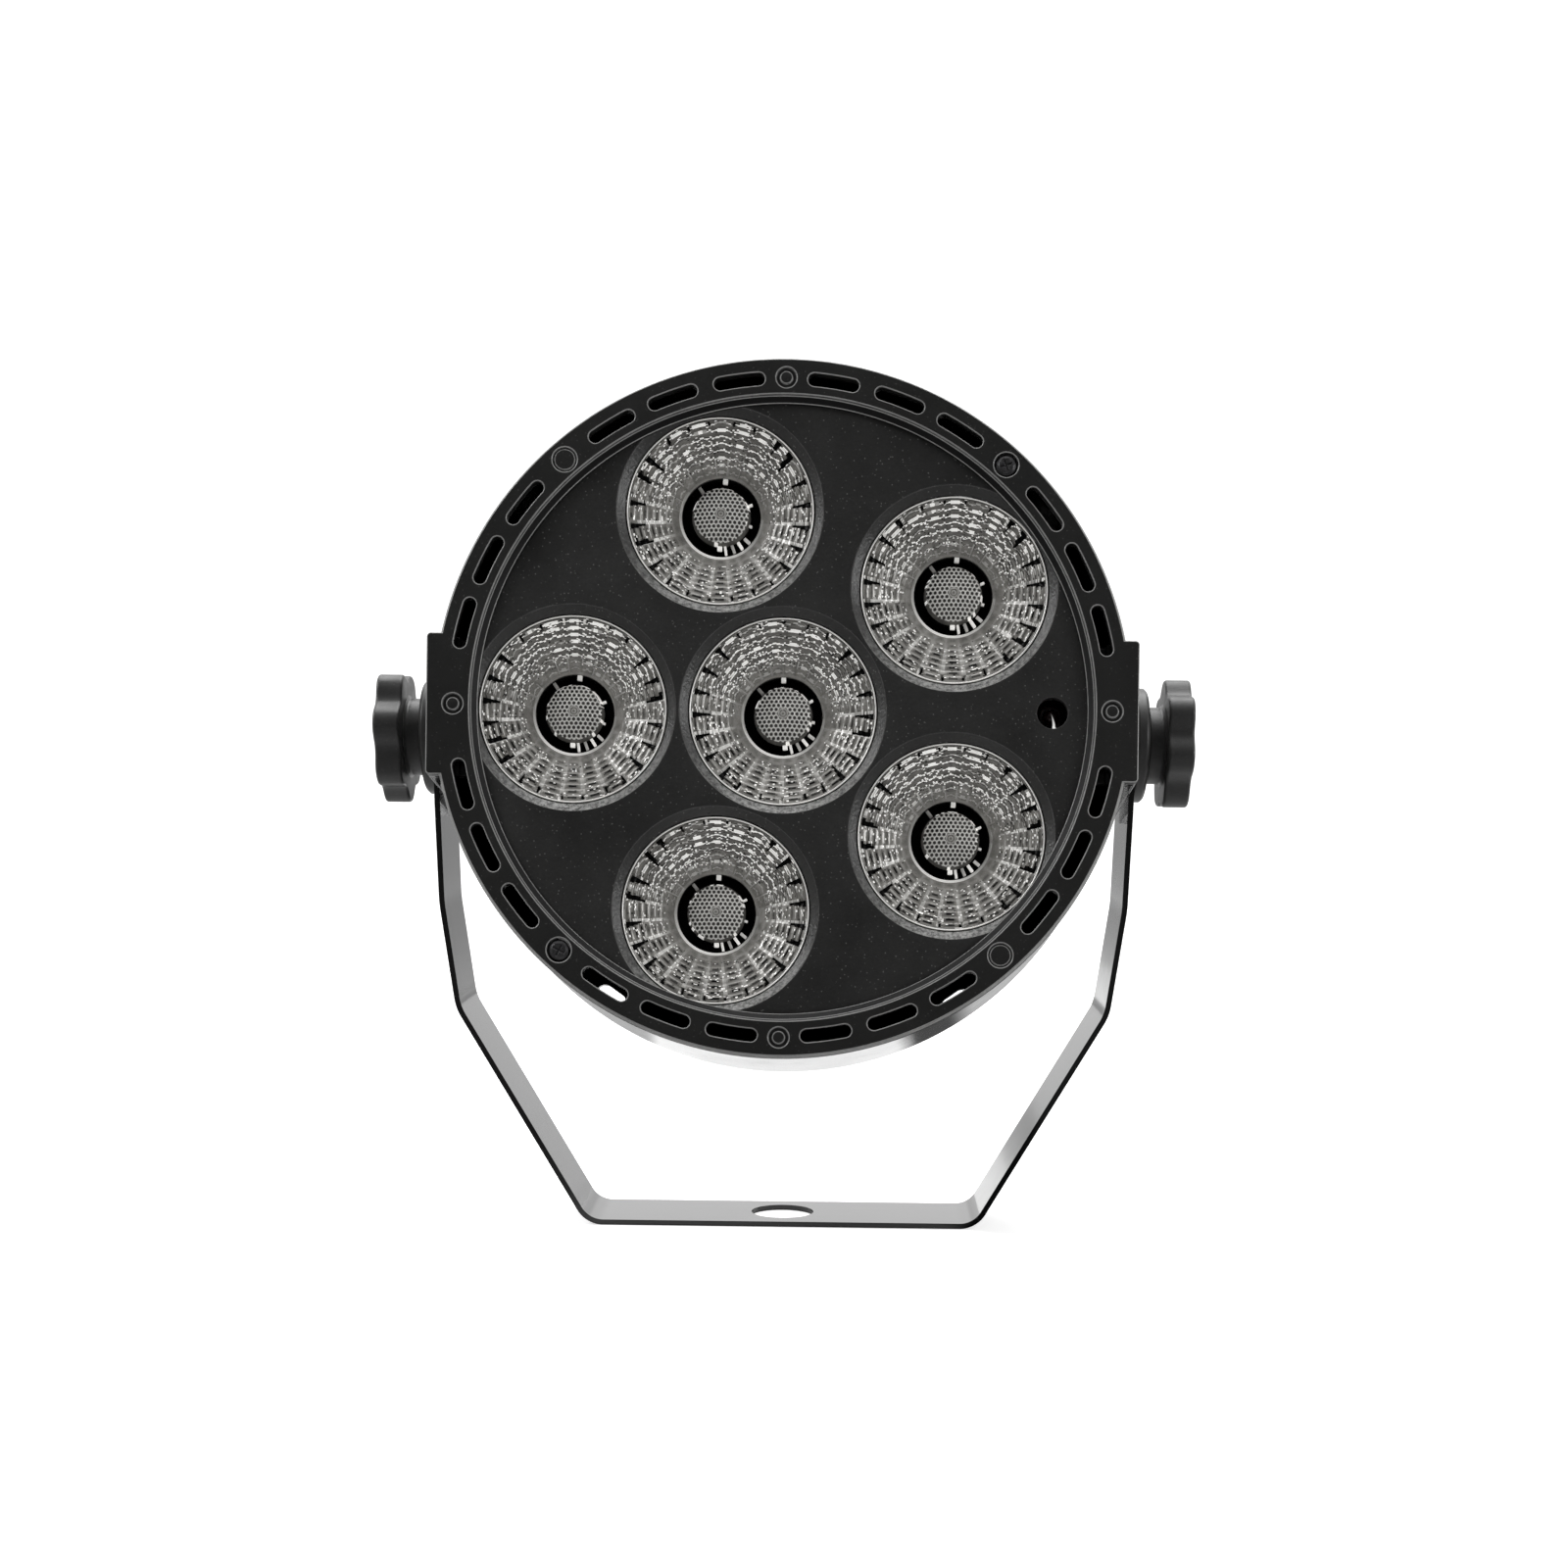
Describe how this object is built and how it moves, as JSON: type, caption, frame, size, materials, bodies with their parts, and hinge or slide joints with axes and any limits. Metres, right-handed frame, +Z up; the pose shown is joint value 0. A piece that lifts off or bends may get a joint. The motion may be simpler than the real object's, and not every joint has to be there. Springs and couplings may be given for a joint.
{
  "type": "led par stage light",
  "caption": "Shallow round black stage light head with faceted lenses, tilting in a bent flat-bar yoke clamped by two lobed knobs.",
  "frame": {"origin": "middle of the bounding box in X and Y, on the underside of the yoke's foot", "axes": "+Z up with the yoke upright, -Y the way the head looks, +X to the right seen from the front"},
  "size_m": [0.2312, 0.1072, 0.2412],
  "materials": {
    "bezel_plastic": "satin black moulded plastic",
    "panel_plastic": "black plastic with a fine spark-eroded grain",
    "housing_plastic": "polished black moulded plastic",
    "panel_paint": "black powder-coated sheet",
    "yoke_paint": "gloss black paint on steel bar",
    "knob_plastic": "satin black moulded plastic",
    "lens_acrylic": "clear faceted acrylic",
    "holder_plastic": "black moulded plastic",
    "led_phosphor": "silicone dome over phosphor",
    "board_white": "white solder mask on an aluminium-core board",
    "board_green": "green solder mask",
    "bare_aluminium": "mill finish",
    "bright_steel": "bright zinc-plated steel",
    "black_screw": "black oxide steel",
    "zinc": "die-cast zinc",
    "brass": "turned brass",
    "rubber": "matt rubber",
    "dark_window": "dark red transparent plastic"
  },
  "bodies": {
    "yoke": {"yoke_bracket": "yoke_paint"},
    "head": {"front_bezel": "bezel_plastic", "bezel_screw_upper": "black_screw", "bezel_screw_lower": "black_screw", "lens_panel": "panel_plastic", "lens_1": "lens_acrylic", "lens_2": "lens_acrylic", "lens_3": "lens_acrylic", "lens_4": "lens_acrylic", "lens_5": "lens_acrylic", "lens_6": "lens_acrylic", "lens_holder_1": "holder_plastic", "lens_holder_2": "holder_plastic", "lens_holder_3": "holder_plastic", "lens_holder_4": "holder_plastic", "lens_holder_5": "holder_plastic", "lens_holder_6": "holder_plastic", "led_1": "led_phosphor", "led_2": "led_phosphor", "led_3": "led_phosphor", "led_4": "led_phosphor", "led_5": "led_phosphor", "led_6": "led_phosphor", "led_board": "board_white", "ir_receiver": "dark_window", "heat_sink": "bare_aluminium", "fan_frame": "holder_plastic", "rear_housing": "housing_plastic", "rear_panel": "panel_paint", "panel_screw_1": "zinc", "panel_screw_2": "zinc", "panel_screw_3": "zinc", "panel_screw_4": "zinc", "control_board": "board_green", "display": "dark_window", "power_supply_board": "board_green", "signal_socket": "zinc", "signal_plug": "zinc", "mains_inlet": "holder_plastic", "thread_insert_left": "brass", "thread_insert_right": "brass", "friction_washer_left": "rubber", "friction_washer_right": "rubber"},
    "fan": {"fan_rotor": "holder_plastic"},
    "menu_button": {"button_menu": "knob_plastic"},
    "down_button": {"button_down": "knob_plastic"},
    "up_button": {"button_up": "knob_plastic"},
    "enter_button": {"button_enter": "knob_plastic"},
    "latch": {"socket_latch": "bright_steel"},
    "fuse": {"fuse_drawer": "knob_plastic"},
    "left_clamp": {"clamp_washer_left": "knob_plastic"},
    "left_knob": {"knob_left": "knob_plastic", "clamp_stud_left": "bright_steel"},
    "right_clamp": {"clamp_washer_right": "knob_plastic"},
    "right_knob": {"knob_right": "knob_plastic", "clamp_stud_right": "bright_steel"}
  },
  "joints": [
    {"name": "head_tilt", "type": "hinge", "parent": "yoke", "child": "head", "pos_m": [0, 0.00675, 0.14], "axis": [1, 0, 0], "continuous": true},
    {"name": "left_clamp_travel", "type": "slide", "parent": "head", "child": "left_clamp", "axis": [-1, 0, 0], "range_m": [0, 0.0025]},
    {"name": "left_knob_turn", "type": "hinge", "parent": "left_clamp", "child": "left_knob", "pos_m": [0, 0.00675, 0.14], "axis": [-1, 0, 0], "range_deg": [0, 720]},
    {"name": "right_clamp_travel", "type": "slide", "parent": "head", "child": "right_clamp", "axis": [1, 0, 0], "range_m": [0, 0.0025]},
    {"name": "right_knob_turn", "type": "hinge", "parent": "right_clamp", "child": "right_knob", "pos_m": [0, 0.00675, 0.14], "axis": [1, 0, 0], "range_deg": [0, 720]},
    {"name": "fan_spin", "type": "hinge", "parent": "head", "child": "fan", "pos_m": [0, 0.00918, 0.13942], "axis": [0, 0.9724, -0.2334], "continuous": true},
    {"name": "menu_button_press", "type": "slide", "parent": "head", "child": "menu_button", "axis": [0, -0.9724, 0.2334], "range_m": [0, 0.0008], "stiffness_N_per_m": 400, "springref_m": -0.001},
    {"name": "down_button_press", "type": "slide", "parent": "head", "child": "down_button", "axis": [0, -0.9724, 0.2334], "range_m": [0, 0.0008], "stiffness_N_per_m": 400, "springref_m": -0.001},
    {"name": "up_button_press", "type": "slide", "parent": "head", "child": "up_button", "axis": [0, -0.9724, 0.2334], "range_m": [0, 0.0008], "stiffness_N_per_m": 400, "springref_m": -0.001},
    {"name": "enter_button_press", "type": "slide", "parent": "head", "child": "enter_button", "axis": [0, -0.9724, 0.2334], "range_m": [0, 0.0008], "stiffness_N_per_m": 400, "springref_m": -0.001},
    {"name": "latch_press", "type": "slide", "parent": "head", "child": "latch", "axis": [0, -0.9724, 0.2334], "range_m": [0, 0.0015], "stiffness_N_per_m": 600, "springref_m": -0.001},
    {"name": "fuse_drawer_pull", "type": "slide", "parent": "head", "child": "fuse", "axis": [0, 0.9724, -0.2334], "range_m": [0, 0.018]}
  ],
  "couplings": [
    {"joint": "left_knob_turn", "follows": "left_clamp_travel", "rad_per_m": 5026.5},
    {"joint": "right_knob_turn", "follows": "right_clamp_travel", "rad_per_m": 5026.5}
  ]
}
